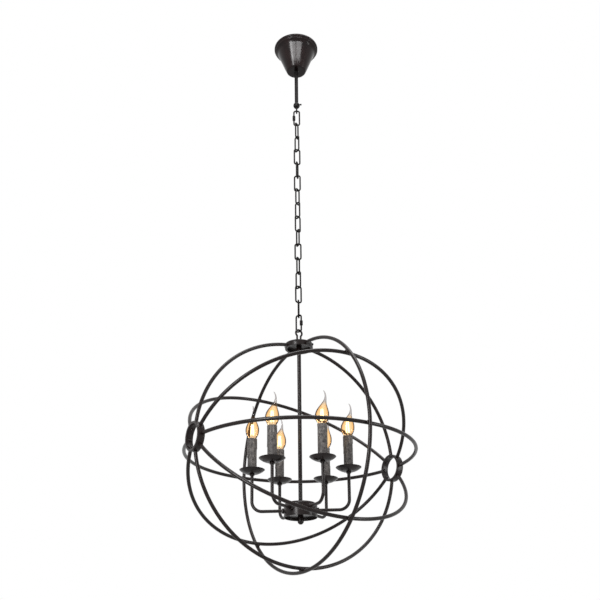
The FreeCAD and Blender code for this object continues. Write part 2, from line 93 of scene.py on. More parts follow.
SLEEVE_RELIEF = 1.2 * MM
LAMP_TIP_TURNS = (-30, 40, -70, 0, 0, 0)
ORB_CENTRE = Vector((0, 0, sum(corner.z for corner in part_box("hub_right")) / 2))

# ------------------------------------------------------------ camera, fitted to the photograph
CAMERA_PLACE = Vector((0, -2084.3, -598.5)) * MM + ORB_CENTRE
CAMERA_PITCH = math.radians(16.25)
CAMERA_ROLL = -0.010
CAMERA_LENS = 52.4
CAMERA_RISE = 0.25


# ------------------------------------------------------------ mesh work
def heading(degrees):
    """Level direction at an angle from +X."""
    angle = math.radians(degrees)
    return Vector((math.cos(angle), math.sin(angle), 0))


def make_piece(name, bm, material, body, replaces=(), crease=35):
    """Turns a bmesh into an object of the scene that rides on a CAD body."""
    bmesh.ops.remove_doubles(bm, verts=bm.verts, dist=2e-6)
    bmesh.ops.recalc_face_normals(bm, faces=bm.faces)
    mesh = bpy.data.meshes.new(name)
    bm.to_mesh(mesh)
    bm.free()
    mesh.materials.append(material)
    mesh.shade_smooth()
    mesh.set_sharp_from_angle(angle=math.radians(crease))
    piece = bpy.data.objects.new(name, mesh)
    bpy.context.scene.collection.objects.link(piece)
    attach(piece, body)
    if replaces:
        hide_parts(*replaces)
    return piece


def frame_at(centre, axis):
    """Placement that takes +Z to the axis and the origin to the centre."""
    return Matrix.Translation(centre) @ axis.to_track_quat("Z", "Y").to_matrix().to_4x4()


def turned(bm, profile, placement=Matrix(), steps=64):
    """Adds a turned form. The closed profile is (radius, height, rounding), with heights along its axis."""
    before = set(bm.verts)
    corners = [bm.verts.new((radius, 0, height)) for radius, height, _ in profile]
    bm.faces.new(corners)
    for corner, (_, _, rounding) in zip(corners, profile):
        if rounding:
            bmesh.ops.bevel(bm, geom=[corner], offset=rounding, offset_type="OFFSET", segments=5, profile=0.5,
                            affect="VERTICES", material=-1)
    fresh = [v for v in bm.verts if v not in before]
    bmesh.ops.delete(bm, geom=list({f for v in fresh for f in v.link_faces}), context="FACES_ONLY")
    on_axis = [e for v in fresh for e in v.link_edges if all(abs(p.co.x) < 1e-9 for p in e.verts)]
    bmesh.ops.delete(bm, geom=list(set(on_axis)), context="EDGES")
    fresh = [v for v in bm.verts if v not in before]
    rim = list({e for v in fresh for e in v.link_edges})
    bmesh.ops.spin(bm, geom=fresh + rim, cent=ORIGIN, axis=Z, angle=math.tau, steps=steps, use_merge=True)
    fresh = [v for v in bm.verts if v not in before]
    bmesh.ops.transform(bm, matrix=placement, verts=fresh)
    return bm


def bent_bar(bm, radius, start, way, moves, sides=20, arc_step=6 * MM, closed=False):
    """Adds round bar. A move is a straight run (a vector) or a bend (centre, axis, angle)."""
    ring = bmesh.ops.create_circle(bm, cap_ends=False, segments=sides, radius=radius,
                                   matrix=frame_at(start, way))
    rim = list({e for v in ring["verts"] for e in v.link_edges})
    first = rim
    for move in moves:
        ends = list({v for e in rim for v in e.verts})
        if isinstance(move, Vector):
            made = bmesh.ops.extrude_edge_only(bm, edges=rim)["geom"]
            tips = [v for v in made if isinstance(v, bmesh.types.BMVert)]
            bmesh.ops.translate(bm, vec=move, verts=tips)
        else:
            centre, axis, angle = move
            middle = sum((v.co for v in ends), Vector()) / len(ends)
            steps = max(3, round(abs(angle) * (middle - centre).length / arc_step))
            made = bmesh.ops.spin(bm, geom=ends + rim, cent=centre, axis=axis, angle=angle,
                                  steps=steps)["geom_last"]
        rim = [e for e in made if isinstance(e, bmesh.types.BMEdge) and e.is_boundary]
        if isinstance(move, Vector):
            rim = [e for e in rim if all(v in tips for v in e.verts)]
    if not closed:
        bmesh.ops.contextual_create(bm, geom=first)
        bmesh.ops.contextual_create(bm, geom=rim)
    return bm


def hex_nut(bm, flats, height, bore, placement):
    """Adds a nut: a hexagon bridged to its bore, drawn out and with its outer edges eased."""
    before = set(bm.verts)
    bmesh.ops.create_circle(bm, segments=6, radius=flats / math.sqrt(3))
    bmesh.ops.create_circle(bm, segments=24, radius=bore)
    fresh = [v for v in bm.verts if v not in before]
    edges = list({e for v in fresh for e in v.link_edges})
    faces = bmesh.ops.bridge_loops(bm, edges=edges)["faces"]
    made = bmesh.ops.extrude_face_region(bm, geom=faces)["geom"]
    bmesh.ops.translate(bm, vec=Z * height, verts=[v for v in made if isinstance(v, bmesh.types.BMVert)])
    fresh = [v for v in bm.verts if v not in before]
    clear_of_bore = bore * 1.02
    outer = [e for e in {e for v in fresh for e in v.link_edges}
             if min(v.co.xy.length for v in e.verts) > clear_of_bore and e.calc_face_angle(0) > 0.5]
    bmesh.ops.bevel(bm, geom=outer, offset=flats * 0.03, segments=2, profile=0.5, affect="EDGES", material=-1)
    fresh = [v for v in bm.verts if v not in before]
    bmesh.ops.transform(bm, matrix=placement, verts=fresh)
    return bm


def pan_screw(bm, head_radius, head_height, shank, length, placement):
    """Adds a pan-head screw that stands on its placement's origin with the head up and the shank down."""
    dome = head_height * 0.75
    profile = [(0, head_height, 0), (head_radius * 0.9, head_height, dome), (head_radius, 0, 0.1 * MM),
               (shank, 0, 0), (shank, -length, 0.2 * MM), (0, -length, 0)]
    return turned(bm, profile, placement, steps=24)


# ------------------------------------------------------------ material work
COAT_DRIFT = 30 * MM        # length over which the coat's tone drifts along a bar
WAX_CLOUD = 9 * MM          # lighter and darker clouds in the sleeve's paint
WAX_FLECK = 4 * MM          # dark flecks, drawn coarser than the real 1 to 2 mm so that they show
SMALL_PART_GRAIN = 0.8 * MM


def linear(hex_colour):
    """sRGB hex to the linear colour that the shaders take."""
    channels = [int(hex_colour[i:i + 2], 16) / 255 for i in (1, 3, 5)]
    return [c / 12.92 if c <= 0.04045 else ((c + 0.055) / 1.055) ** 2.4 for c in channels] + [1.0]


def add(tree, kind, inputs=None, stops=(), **settings):
    """Adds a node with its settings. An input is a value or an output; the stops are a colour ramp's."""
    made = tree.nodes.new(kind)
    for key, value in settings.items():
        setattr(made, key, value)
    for key, value in (inputs or {}).items():
        if isinstance(value, bpy.types.NodeSocket):
            tree.links.new(value, made.inputs[key])
        else:
            made.inputs[key].default_value = value
    while stops and len(made.color_ramp.elements) < len(stops):
        made.color_ramp.elements.new(0.5)
    for number, (place, colour) in enumerate(stops):
        made.color_ramp.elements[number].position = place
        made.color_ramp.elements[number].color = linear(colour)
    return made


def per(size):
    """Noise scale for features of that real size in metres."""
    return 1 / size


def new_material(name):
    """Empty material with its output node."""
    material = bpy.data.materials.new(name)
    material.use_nodes = True
    tree = material.node_tree
    tree.nodes.clear()
    output = add(tree, "ShaderNodeOutputMaterial")
    return material, tree, output


def coated_metal(name, tones, roughness, grain, relief, specular):
    """Painted or powder-coated steel: a broad drift of colour, a fine grain and a slight relief."""
    material, tree, output = new_material(name)
    place = add(tree, "ShaderNodeTexCoord").outputs["Object"]
    drift = add(tree, "ShaderNodeTexNoise", {"Vector": place, "Scale": per(COAT_DRIFT), "Detail": 3.0,
                                             "Roughness": 0.55})
    speck = add(tree, "ShaderNodeTexNoise", {"Vector": place, "Scale": per(grain), "Detail": 4.0,
                                             "Roughness": 0.6})
    blend = add(tree, "ShaderNodeMix", {"Factor": 0.3, "A": drift.outputs["Fac"], "B": speck.outputs["Fac"]},
                data_type="FLOAT")
    colour = add(tree, "ShaderNodeValToRGB", {"Fac": blend.outputs["Result"]},
                 stops=list(zip((0.35, 0.5, 0.68), tones))).outputs["Color"]
    shine = add(tree, "ShaderNodeMapRange", {"Value": speck.outputs["Fac"], "From Min": 0.3, "From Max": 0.7,
                                            "To Min": roughness - 0.04, "To Max": roughness + 0.06})
    bump = add(tree, "ShaderNodeBump", {"Height": speck.outputs["Fac"], "Strength": 0.4, "Distance": relief})
    shader = add(tree, "ShaderNodeBsdfPrincipled", {
        "Base Color": colour, "Roughness": shine.outputs["Result"], "Metallic": 0.0, "IOR": 1.5,
        "Specular IOR Level": specular, "Normal": bump.outputs["Normal"]})
    tree.links.new(shader.outputs["BSDF"], output.inputs["Surface"])
    return material


def bronze_powder_coat():
    """Dark bronze powder coat on bar: satin, its shallow orange peel drawn wider than the real 1 to 2 mm."""
    return coated_metal("dark_bronze_powder_coat", ("#120c0b", "#160f0e", "#1b1312"), 0.26, 5.0 * MM,
                        0.002 * MM, 0.22)


def gloss_bronze_paint():
    """Gloss black-bronze paint on the spun canopy: smooth enough to mirror the studio's soft boxes."""
    return coated_metal("gloss_black_bronze_paint", ("#0d0808", "#130b0b", "#180f0e"), 0.2, 12 * MM,
                        0.001 * MM, 0.16)


def link_paint():
    """Semi-gloss paint over bent wire, thinner and rougher than the bars' powder coat."""
    return coated_metal("black_bronze_paint_on_wire", ("#070606", "#0c0a0a", "#151211"), 0.42, 0.8 * MM,
                        0.008 * MM, 0.1)


def blackened_wax():
    """Moulded sleeve painted graphite grey: dull and dark-flecked, with a painted highlight on its raised
    drips and lip.
    """
    material, tree, output = new_material("graphite_painted_wax_sleeve")
    place = add(tree, "ShaderNodeTexCoord").outputs["Object"]
    raised = add(tree, "ShaderNodeAttribute", attribute_name="drip_height").outputs["Fac"]
    cloud = add(tree, "ShaderNodeTexNoise", {"Vector": place, "Scale": per(WAX_CLOUD), "Detail": 5.0,
                                             "Roughness": 0.65})
    fleck = add(tree, "ShaderNodeTexNoise", {"Vector": place, "Scale": per(WAX_FLECK), "Detail": 3.0,
                                             "Roughness": 0.6})
    body = add(tree, "ShaderNodeValToRGB", {"Fac": cloud.outputs["Fac"]},
               stops=[(0.32, "#343231"), (0.5, "#4e4b4a"), (0.72, "#6a6664")])
    # painted highlight: the raised drips and the lip are drawn paler than the body, the same on every side
    drip_highlight = add(tree, "ShaderNodeValToRGB", {"Fac": cloud.outputs["Fac"]},
                 stops=[(0.35, "#5a5654"), (0.65, "#7e7a76")])
    painted = add(tree, "ShaderNodeMix", {0: raised, 6: body.outputs["Color"], 7: drip_highlight.outputs["Color"]},
                  data_type="RGBA").outputs[2]
    dark = add(tree, "ShaderNodeMapRange", {"Value": fleck.outputs["Fac"], "From Min": 0.36, "From Max": 0.42,
                                           "To Min": 1.0, "To Max": 0.0})
    colour = add(tree, "ShaderNodeMix", {0: dark.outputs["Result"], 6: painted, 7: linear("#1b1919")},
                 data_type="RGBA").outputs[2]
    bump = add(tree, "ShaderNodeBump", {"Height": cloud.outputs["Fac"], "Strength": 0.35,
                                        "Distance": 0.4 * MM})
    shader = add(tree, "ShaderNodeBsdfPrincipled", {
        "Base Color": colour, "Roughness": 0.52, "IOR": 1.45, "Specular IOR Level": 0.25,
        "Normal": bump.outputs["Normal"]})
    tree.links.new(shader.outputs["BSDF"], output.inputs["Surface"])
    return material


def amber_glass():
    """Blown glass with an amber lustre on its belly, deeper where the wall is seen edge on, and a clear tail.

    The index of 1.2 is below the glass's own 1.5, so that the wall mirrors the white room as faintly as the
    real one. Light goes straight through, as it does through a thin wall.
    """
    material, tree, output = new_material("blown_amber_lustre_glass")
    depth = add(tree, "ShaderNodeAttribute", attribute_name="amber_depth").outputs["Fac"]
    edge = add(tree, "ShaderNodeLayerWeight", {"Blend": 0.35}).outputs["Facing"]
    amber = add(tree, "ShaderNodeValToRGB", {"Fac": edge},
                stops=[(0.0, "#fff0d4"), (0.3, "#f8dbb0"), (0.6, "#dcaa72"), (1.0, "#8a5630")])
    clear = add(tree, "ShaderNodeValToRGB", {"Fac": edge},
                stops=[(0.0, "#e6e3e2"), (0.5, "#a9a3a2"), (1.0, "#2c2828")])
    tint = add(tree, "ShaderNodeMix", {0: depth, 6: clear.outputs["Color"], 7: amber.outputs["Color"]},
               data_type="RGBA").outputs[2]
    wall = add(tree, "ShaderNodeBsdfTransparent", {"Color": tint})
    scatter = add(tree, "ShaderNodeMath", {0: depth, 1: 0.05}, operation="MULTIPLY")
    lit = add(tree, "ShaderNodeEmission", {"Color": linear("#ffae4a"), "Strength": scatter.outputs["Value"]})
    through = add(tree, "ShaderNodeAddShader", {0: wall.outputs["BSDF"], 1: lit.outputs["Emission"]})
    gloss = add(tree, "ShaderNodeBsdfPrincipled", {"Base Color": linear("#ffffff"), "Metallic": 1.0,
                                                   "Roughness": 0.03})
    shine = add(tree, "ShaderNodeFresnel", {"IOR": 1.2}).outputs["Fac"]
    surface = add(tree, "ShaderNodeMixShader", {0: shine, 1: through.outputs["Shader"],
                                                2: gloss.outputs["BSDF"]})
    tree.links.new(surface.outputs["Shader"], output.inputs["Surface"])
    return material


def lit_tungsten():
    """Lit filament: warm white, drawn far thicker than real wire so that it shows through the glass."""
    material, tree, output = new_material("lit_filament")
    shader = add(tree, "ShaderNodeEmission", {"Color": linear("#ffe9b8"), "Strength": 5.0})
    tree.links.new(shader.outputs["Emission"], output.inputs["Surface"])
    return material


def plain_finish(name, colour, roughness, metallic=0.0):
    """Moulded or plated small part: one colour with a fine drift in its tone and shine."""
    material, tree, output = new_material(name)
    place = add(tree, "ShaderNodeTexCoord").outputs["Object"]
    noise = add(tree, "ShaderNodeTexNoise", {"Vector": place, "Scale": per(SMALL_PART_GRAIN), "Detail": 3.0})
    tone = add(tree, "ShaderNodeHueSaturation", {"Color": linear(colour), "Value": noise.outputs["Fac"]})
    lift = add(tree, "ShaderNodeMix", {0: 0.25, 6: linear(colour), 7: tone.outputs["Color"]},
               data_type="RGBA").outputs[2]
    shine = add(tree, "ShaderNodeMapRange", {"Value": noise.outputs["Fac"], "To Min": roughness - 0.08,
                                            "To Max": roughness + 0.08})
    shader = add(tree, "ShaderNodeBsdfPrincipled", {"Base Color": lift, "Metallic": metallic,
                                                    "Roughness": shine.outputs["Result"]})
    tree.links.new(shader.outputs["BSDF"], output.inputs["Surface"])
    return material


bronze = bronze_powder_coat()
canopy_paint = gloss_bronze_paint()
chain_paint = link_paint()
wax = blackened_wax()
lamp_glass = amber_glass()
filament_glow = lit_tungsten()
zinc = plain_finish("zinc_plated_steel", "#a9a9a6", 0.35, 1.0)  # grey metal with a soft mirror
nickel = plain_finish("nickel_plated_brass_cap", "#c9c4ba", 0.25, 1.0)  # bright and slightly warm
holder_black = plain_finish("moulded_black_phenolic", "#161514", 0.45)  # near black, half dull
glass_bead = plain_finish("pressed_glass_stem", "#f2ead8", 0.12)  # milky, with a wet shine


# ------------------------------------------------------------ canopy, rod, ball and eye
def cove(start, end, bow, steps=8):
    """Points of a hollow curve between two (radius, height) places, bowed inwards at its middle."""
    (r0, z0), (r1, z1) = start, end
    length = math.hypot(r1 - r0, z1 - z0)
    out_r, out_z = (z1 - z0) / length, -(r1 - r0) / length
    places = []
    for k in range(1, steps):
        share = k / steps
        dip = 4 * bow * share * (1 - share)
        places.append((r0 + (r1 - r0) * share + out_r * dip, z0 + (z1 - z0) * share + out_z * dip, 0))
    return places


def build_canopy():
    """Spun bell with a rolled rim, a hollow cove under it and a rounded foot, outlined in millimetres."""
    wall = 1.2
    hollow = cove((58.0, -9.5), (50.0, -18.0), 1.2)
    outside = [(61.5, -0.05, 0.5), (61.5, -5.0, 1.6), (58.2, -5.6, 0.8), (58.0, -9.5, 0.8)] + hollow
    outside += [(50.0, -18.0, 1.0), (31.0, -67.5, 9.0), (26.0, -77.9, 5.0), (5.3, -77.9, 0.4)]
    inside = [(5.3, -77.9 + wall, 0), (24.5, -77.9 + wall, 4), (29.6, -67.0, 7), (48.2, -18.0, 3),
              (55.6, -9.2, 1), (56.6, -5.6, 0.5), (60.2, -4.4, 0.5), (60.2, -0.05, 0.3)]
    profile = [(r * MM, z * MM, rounding * MM) for r, z, rounding in outside + inside]
    bm = turned(bmesh.new(), profile, steps=96)
    make_piece("bell_canopy", bm, canopy_paint, "canopy", ("canopy",))
    bm = bmesh.new()
    for side in (1, -1):
        seat = Vector((side * 58.1, 0, -7.2)) * MM
        pan_screw(bm, 3.0 * MM, 2.0 * MM, 1.5 * MM, 5.9 * MM, frame_at(seat, X * side))
    make_piece("canopy_side_screws", bm, canopy_paint, "canopy", ("canopy_screws",))


def build_rod_and_eye():
    top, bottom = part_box("suspension_rod")[1].z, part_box("suspension_rod")[0].z
    profile = [(ROD_RADIUS, top, 0), (ROD_RADIUS, bottom, 0), (ROD_BORE, bottom, 0), (ROD_BORE, top, 0)]
    bm = turned(bmesh.new(), profile, steps=40)
    make_piece("canopy_rod", bm, chain_paint, "ceiling_fixing", ("suspension_rod",))
    low, high = (corner.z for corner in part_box("ball"))
    middle = (low + high) / 2
    socket, eye_hole = ROD_RADIUS + 0.05 * MM, 3.6 * MM
    bulge = [(BALL_RADIUS * math.cos(a), min(max(middle + BALL_RADIUS * math.sin(a), low), high), 0)
             for a in (math.radians(d) for d in range(-62, 63, 4))]
    bores = [(socket, high, 0), (socket, middle, 0), (eye_hole, middle, 0)]
    bm = turned(bmesh.new(), [(eye_hole, low, 0)] + bulge + bores, steps=48)
    make_piece("rod_ball", bm, chain_paint, "ceiling_fixing", ("ball",))
    screw_z = sum(c.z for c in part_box("lock_screw")) / 2
    bm = bmesh.new()
    profile = [(0, 14 * MM, 0), (2.2 * MM, 14 * MM, 0.5 * MM), (2.2 * MM, 10 * MM, 0.3 * MM),
               (1.45 * MM, 10 * MM, 0), (1.45 * MM, 5.2 * MM, 0.2 * MM), (0, 5.2 * MM, 0)]
    turned(bm, profile, frame_at(Vector((0, 0, screw_z)), X), steps=28)
    make_piece("ball_lock_screw", bm, chain_paint, "lock_screw", ("lock_screw",))
    low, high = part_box("eye_bolt")
    ring = Vector((0, 0, low.z + 2 * WIRE + EYE_RADIUS))
    reach = EYE_RADIUS + WIRE
    bm = bent_bar(bmesh.new(), WIRE, ring - Z * reach, Y, [(ring, X, math.tau)], sides=24, arc_step=1.2 * MM,
                  closed=True)
    shoulder, root = ring.z + reach + WIRE * 0.4, ring.z + reach - WIRE * 0.3
    profile = [(0, high.z, 0), (3.5 * MM, high.z, 0), (3.5 * MM, shoulder, 0.8 * MM),
               (2.6 * MM, root, 0.4 * MM), (0, root, 0)]
    turned(bm, profile, steps=32)
    make_piece("ring_eye", bm, chain_paint, "ceiling_fixing", ("eye_bolt",))


# ------------------------------------------------------------ chain
def wire_link(bm, middle, across, gap=0.0):
    """Adds a link of bent wire: straight sides, rounded corners, and a butt joint or a gap in one side."""
    rise = LINK_INNER / 2 + WIRE
    straight = rise - LINK_CORNER
    normal = across.cross(Z)
    start = middle - across * LINK_HALF_WIDTH + Z * gap / 2
    corner = (across * (LINK_HALF_WIDTH - LINK_CORNER), Z * straight)
    run = across * 2 * (LINK_HALF_WIDTH - LINK_CORNER)
    quarter = -math.pi / 2
    moves = [Z * (straight - gap / 2), (middle - corner[0] + corner[1], normal, quarter),
             run, (middle + corner[0] + corner[1], normal, quarter), -Z * 2 * straight,
             (middle + corner[0] - corner[1], normal, quarter), -run,
             (middle - corner[0] - corner[1], normal, quarter), Z * (straight - gap / 2)]
    return bent_bar(bm, WIRE, start, Z, moves, sides=18, arc_step=0.9 * MM, closed=not gap)


def build_chain():
    last = len(LINK_TURNS) - 1
    for index, turn in enumerate(LINK_TURNS):
        quick = {0: "top", last: "bottom"}.get(index)
        node = "quick_link_" + quick if quick else "chain_link_%02d" % (index + 1)
        low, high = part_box(node)
        middle = Vector((0, 0, (low.z + high.z) / 2))
        across = heading(turn)
        bm = wire_link(bmesh.new(), middle, across, QUICK_GAP if quick else 0.0)
        make_piece(node.replace("chain_", "wire_") + "_wire", bm, chain_paint, node, (node,))
        if quick:
            side = frame_at(middle - across * LINK_HALF_WIDTH - Z * (QUICK_NUT_LENGTH / 2), Z)
            bm = hex_nut(bmesh.new(), QUICK_NUT_FLATS, QUICK_NUT_LENGTH, WIRE + 0.06 * MM, side)
            make_piece("quick_hex_" + quick, bm, chain_paint, "quick_nut_" + quick, ("quick_nut_" + quick,))


# ------------------------------------------------------------ hubs and hoops
def orb_axes():
    """The side hubs' axis and the level direction square to it."""
    across, along = math.cos(ORB_TURN), math.sin(ORB_TURN)
    return Vector((across, along, 0)), Vector((-along, across, 0))


def hoop_way(tilt):
    """Direction from the middle of the orb to the top of a hoop tilted about the side hubs' axis."""
    _, level = orb_axes()
    angle = math.radians(tilt)
    return Z * math.cos(angle) - level * math.sin(angle)


def build_hub(name, centre, axis, length):
    """Open ring with eased edges."""
    half = length / 2
    profile = [(HUB_RADIUS, half, 0.8 * MM), (HUB_RADIUS, -half, 0.8 * MM), (HUB_BORE, -half, 0.6 * MM),
               (HUB_BORE, half, 0.6 * MM)]
    bm = turned(bmesh.new(), profile, frame_at(centre, axis), steps=72)
    make_piece(name + "_ring", bm, bronze, "orb", (name,))


def build_hubs():
    axis, _ = orb_axes()
    for name, side in (("hub_right", 1), ("hub_left", -1)):
        build_hub(name, ORB_CENTRE + axis * side * HOOP_RADIUS, axis, SIDE_HUB_LENGTH)
    build_hub("hub_top", ORB_CENTRE + Z * TOP_HUB_RISE, Z, TOP_HUB_LENGTH)
    low, top = (corner.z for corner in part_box("hub_cap"))
    profile = [(0, top, 0), (29.9 * MM, top, 0.5 * MM), (29.9 * MM, low, 0.3 * MM), (0, low, 0)]
    make_piece("top_cap", turned(bmesh.new(), profile, steps=72), bronze, "orb", ("hub_cap",))
    bm = bmesh.new()
    reach = math.sqrt(HOOP_RADIUS ** 2 - HUB_WALL_MIDDLE ** 2)
    for side in (1, -1):
        for tilt in HOOP_TILTS:
            for way in (1, -1):
                out = hoop_way(tilt) * way
                seat = ORB_CENTRE + axis * side * reach + out * HUB_BORE
                pan_screw(bm, 4.4 * MM, 2.6 * MM, 2.5 * MM, 10 * MM, frame_at(seat, -out))
    for turn in (45, 135, 225, 315):
        out = Matrix.Rotation(ORB_TURN, 3, "Z") @ heading(turn)
        seat = out * HUB_RADIUS + Z * (top + low) / 2
        pan_screw(bm, 3.0 * MM, 2.2 * MM, 1.6 * MM, 10 * MM, frame_at(seat, out))
    make_piece("hub_pan_screws", bm, bronze, "orb", ("hub_screws",))


def hub_entry():
    """Angle from a side hub's centre to where a hoop bar ends inside the hub's wall."""
    return math.asin(HUB_WALL_MIDDLE / HOOP_RADIUS)


def arc_bar(bm, centre, start, axis, angle):
    """Adds a hoop's bar from its start, round an axis through the centre."""
    way = axis.cross(start - centre).normalized() * (1 if angle > 0 else -1)
    return bent_bar(bm, HOOP_BAR, start, way, [(centre, axis, angle)], sides=24, arc_step=4.5 * MM)


def build_hoops():
    axis, level = orb_axes()
    inset = hub_entry()
    for number, tilt in enumerate(HOOP_TILTS, 1):
        bm = bmesh.new()
        for way in (1, -1):
            out = hoop_way(tilt) * way
            spin_axis = axis.cross(out)
            start = ORB_CENTRE + (axis * math.cos(inset) + out * math.sin(inset)) * HOOP_RADIUS
            if tilt == 0 and way == 1:
                quarter = math.pi / 2 - 2 * inset
                arc_bar(bm, ORB_CENTRE, start, spin_axis, quarter)
                start = ORB_CENTRE + (-axis * math.cos(inset) + out * math.sin(inset)) * HOOP_RADIUS
                arc_bar(bm, ORB_CENTRE, start, spin_axis, -quarter)
            else:
                arc_bar(bm, ORB_CENTRE, start, spin_axis, math.pi - 2 * inset)
        make_piece("hoop_%d_bar" % number, bm, bronze, "orb", ("hoop_%d" % number,))
    build_outer_hoop(axis, level)


def build_outer_hoop(axis, level):
    """Fifth hoop, outside the others and flattened above so that it runs into the top hub."""
    entry = math.hypot(HUB_RADIUS, TOP_HUB_RISE)
    spread = math.atan2(TOP_HUB_RISE, HUB_RADIUS) - OUTER_BLEND
    shift = (entry ** 2 - OUTER_RADIUS ** 2) / (2 * (entry * math.cos(spread) - OUTER_RADIUS))
    upper_radius = OUTER_RADIUS - shift
    stop = math.acos((HUB_WALL_MIDDLE - shift * math.cos(OUTER_BLEND)) / upper_radius) - OUTER_BLEND
    bottom = ORB_CENTRE - Z * OUTER_RADIUS
    bm = bmesh.new()
    for side in (1, -1):
        spin_axis = axis * side
        way = level * side
        shoulder = ORB_CENTRE + (way * math.cos(OUTER_BLEND) + Z * math.sin(OUTER_BLEND)) * shift
        moves = [(ORB_CENTRE, spin_axis, math.pi / 2 + OUTER_BLEND), (shoulder, spin_axis, stop)]
        bent_bar(bm, HOOP_BAR, bottom, way, moves, sides=24, arc_step=4.5 * MM)
    make_piece("hoop_5_bar", bm, bronze, "orb", ("hoop_5",))
    build_welds()


def build_welds():
    """Short fillets of weld where the outer hoop crosses the others."""
    rng = random.Random(5)
    middle = (HOOP_RADIUS + OUTER_RADIUS) / 2
    bm = bmesh.new()
    for tilt in HOOP_TILTS:
        for way in (1, -1):
            out = hoop_way(tilt) * way
            if out.z > 0.99:
                continue
            before = set(bm.verts)
            bead = Matrix.Diagonal((5.6, 5.6, 3.4, 1 / MM)) * MM  # its half sizes in millimetres
            placement = frame_at(ORB_CENTRE + out * middle, out) @ bead
            bmesh.ops.create_uvsphere(bm, u_segments=28, v_segments=16, radius=1.0)
            fresh = [v for v in bm.verts if v not in before]
            for vert in fresh:
                vert.co *= 1 + rng.uniform(-0.035, 0.035)
            bmesh.ops.smooth_vert(bm, verts=fresh, factor=0.5, use_axis_x=True, use_axis_y=True,
                                  use_axis_z=True)
            bmesh.ops.transform(bm, matrix=placement, verts=fresh)
    make_piece("crossing_welds", bm, bronze, "orb", ("weld_beads",), crease=60)


def build_hang_loop():
    axis, level = orb_axes()
    low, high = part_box("hang_loop")
    wire, ring_radius, leg = 2.5 * MM, 9 * MM, 5.3 * MM
    ring = Vector((0, 0, high.z - ring_radius - wire))
    side = math.asin(leg / ring_radius)
    foot = ring + axis * leg - Z * ring_radius * math.cos(side)
    base = Vector((0, 0, low.z))
    moves = [(ring, -level, math.tau - 2 * side)]
    bm = bmesh.new()
    way = (-level).cross(foot - ring).normalized()
    bent_bar(bm, wire, foot, way, moves, sides=22, arc_step=1.0 * MM)
    for hand in (1, -1):
        start = base + axis * leg * hand
        rise = ring.z - ring_radius * math.cos(side) - base.z
        bent_bar(bm, wire, start, Z, [Z * rise], sides=22)
        joint = Matrix.Translation(start + Z * rise)
        turned(bm, [(0, wire, 0), (wire, 0, 0), (0, -wire, 0)], joint, steps=22)
    make_piece("bent_hang_loop", bm, bronze, "orb", ("hang_loop",))


# ------------------------------------------------------------ stem, drum, finial
def build_stem():
    low, high = (c.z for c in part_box("stem"))
    profile = [(0, high, 0), (STEM_RADIUS, high, 0), (STEM_RADIUS, low, 0.4 * MM), (0, low, 0)]
    bm = turned(bmesh.new(), profile, steps=40)
    make_piece("stem_tube", bm, bronze, "orb", ("stem",))
    low, high = (c.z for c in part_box("coupler"))
    collar = 7 * MM
    profile = [(STEM_RADIUS, high, 0), (collar, high, 0.4 * MM), (collar, low, 1.0 * MM),
               (STEM_RADIUS, low, 0)]
    bm = turned(bmesh.new(), profile, steps=48)
    make_piece("stem_coupler", bm, bronze, "orb", ("coupler",))


def build_drum():
    low, high = (c.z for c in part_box("drum"))
    inner, ceiling = DRUM_RADIUS - DRUM_WALL, high - DRUM_WALL
    profile = [(STEM_RADIUS, high, 0), (DRUM_RADIUS, high, 6.5 * MM), (DRUM_RADIUS, low, 0.5 * MM),
               (inner, low, 0.4 * MM), (inner, ceiling, 5.2 * MM), (STEM_RADIUS, ceiling, 0)]
    bm = turned(bmesh.new(), profile, steps=96)
    make_piece("arm_drum", bm, bronze, "orb", ("drum",))
    low, high = (c.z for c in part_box("drum_cover"))
    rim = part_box("drum_cover")[1].x
    high -= 0.05 * MM  # clear of the stem nut that stands on it
    hole = STEM_RADIUS + 0.3 * MM
    profile = [(hole, high, 0), (rim, high, 0.4 * MM), (rim, low, 0.4 * MM), (hole, low, 0)]
    bm = turned(bmesh.new(), profile, steps=96)
    make_piece("drum_base_plate", bm, bronze, "drum_cover", ("drum_cover",))
    low, high = (c.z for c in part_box("finial"))
    length = high - low
    bore, bore_end = STEM_RADIUS + 0.1 * MM, high - 12 * MM
    profile = [(bore, high, 0), (7 * MM, high, 0.5 * MM), (7 * MM, high - 0.5 * length, 0),
               (7.8 * MM, high - 0.5 * length, 0.4 * MM), (7.8 * MM, high - 0.72 * length, 0.5 * MM),
               (6.6 * MM, high - 0.86 * length, 1.2 * MM), (3.5 * MM, low, 1.0 * MM),
               (2.2 * MM, low, 0.2 * MM), (1.8 * MM, low + 3 * MM, 0), (0, low + 3.4 * MM, 0),
               (0, bore_end, 0), (bore, bore_end, 0)]
    bm = turned(bmesh.new(), profile, steps=56)
    make_piece("finial_nut", bm, bronze, "finial", ("finial",))


# ------------------------------------------------------------ arms, cups, sleeves and lamps
def candle_angle(index):
    return FIRST_CANDLE + index * 360 / CANDLES


def at_candle(index):
    """Placement that turns a form made on +X to its candle's side."""
    return Matrix.Rotation(math.radians(candle_angle(index)), 4, "Z")


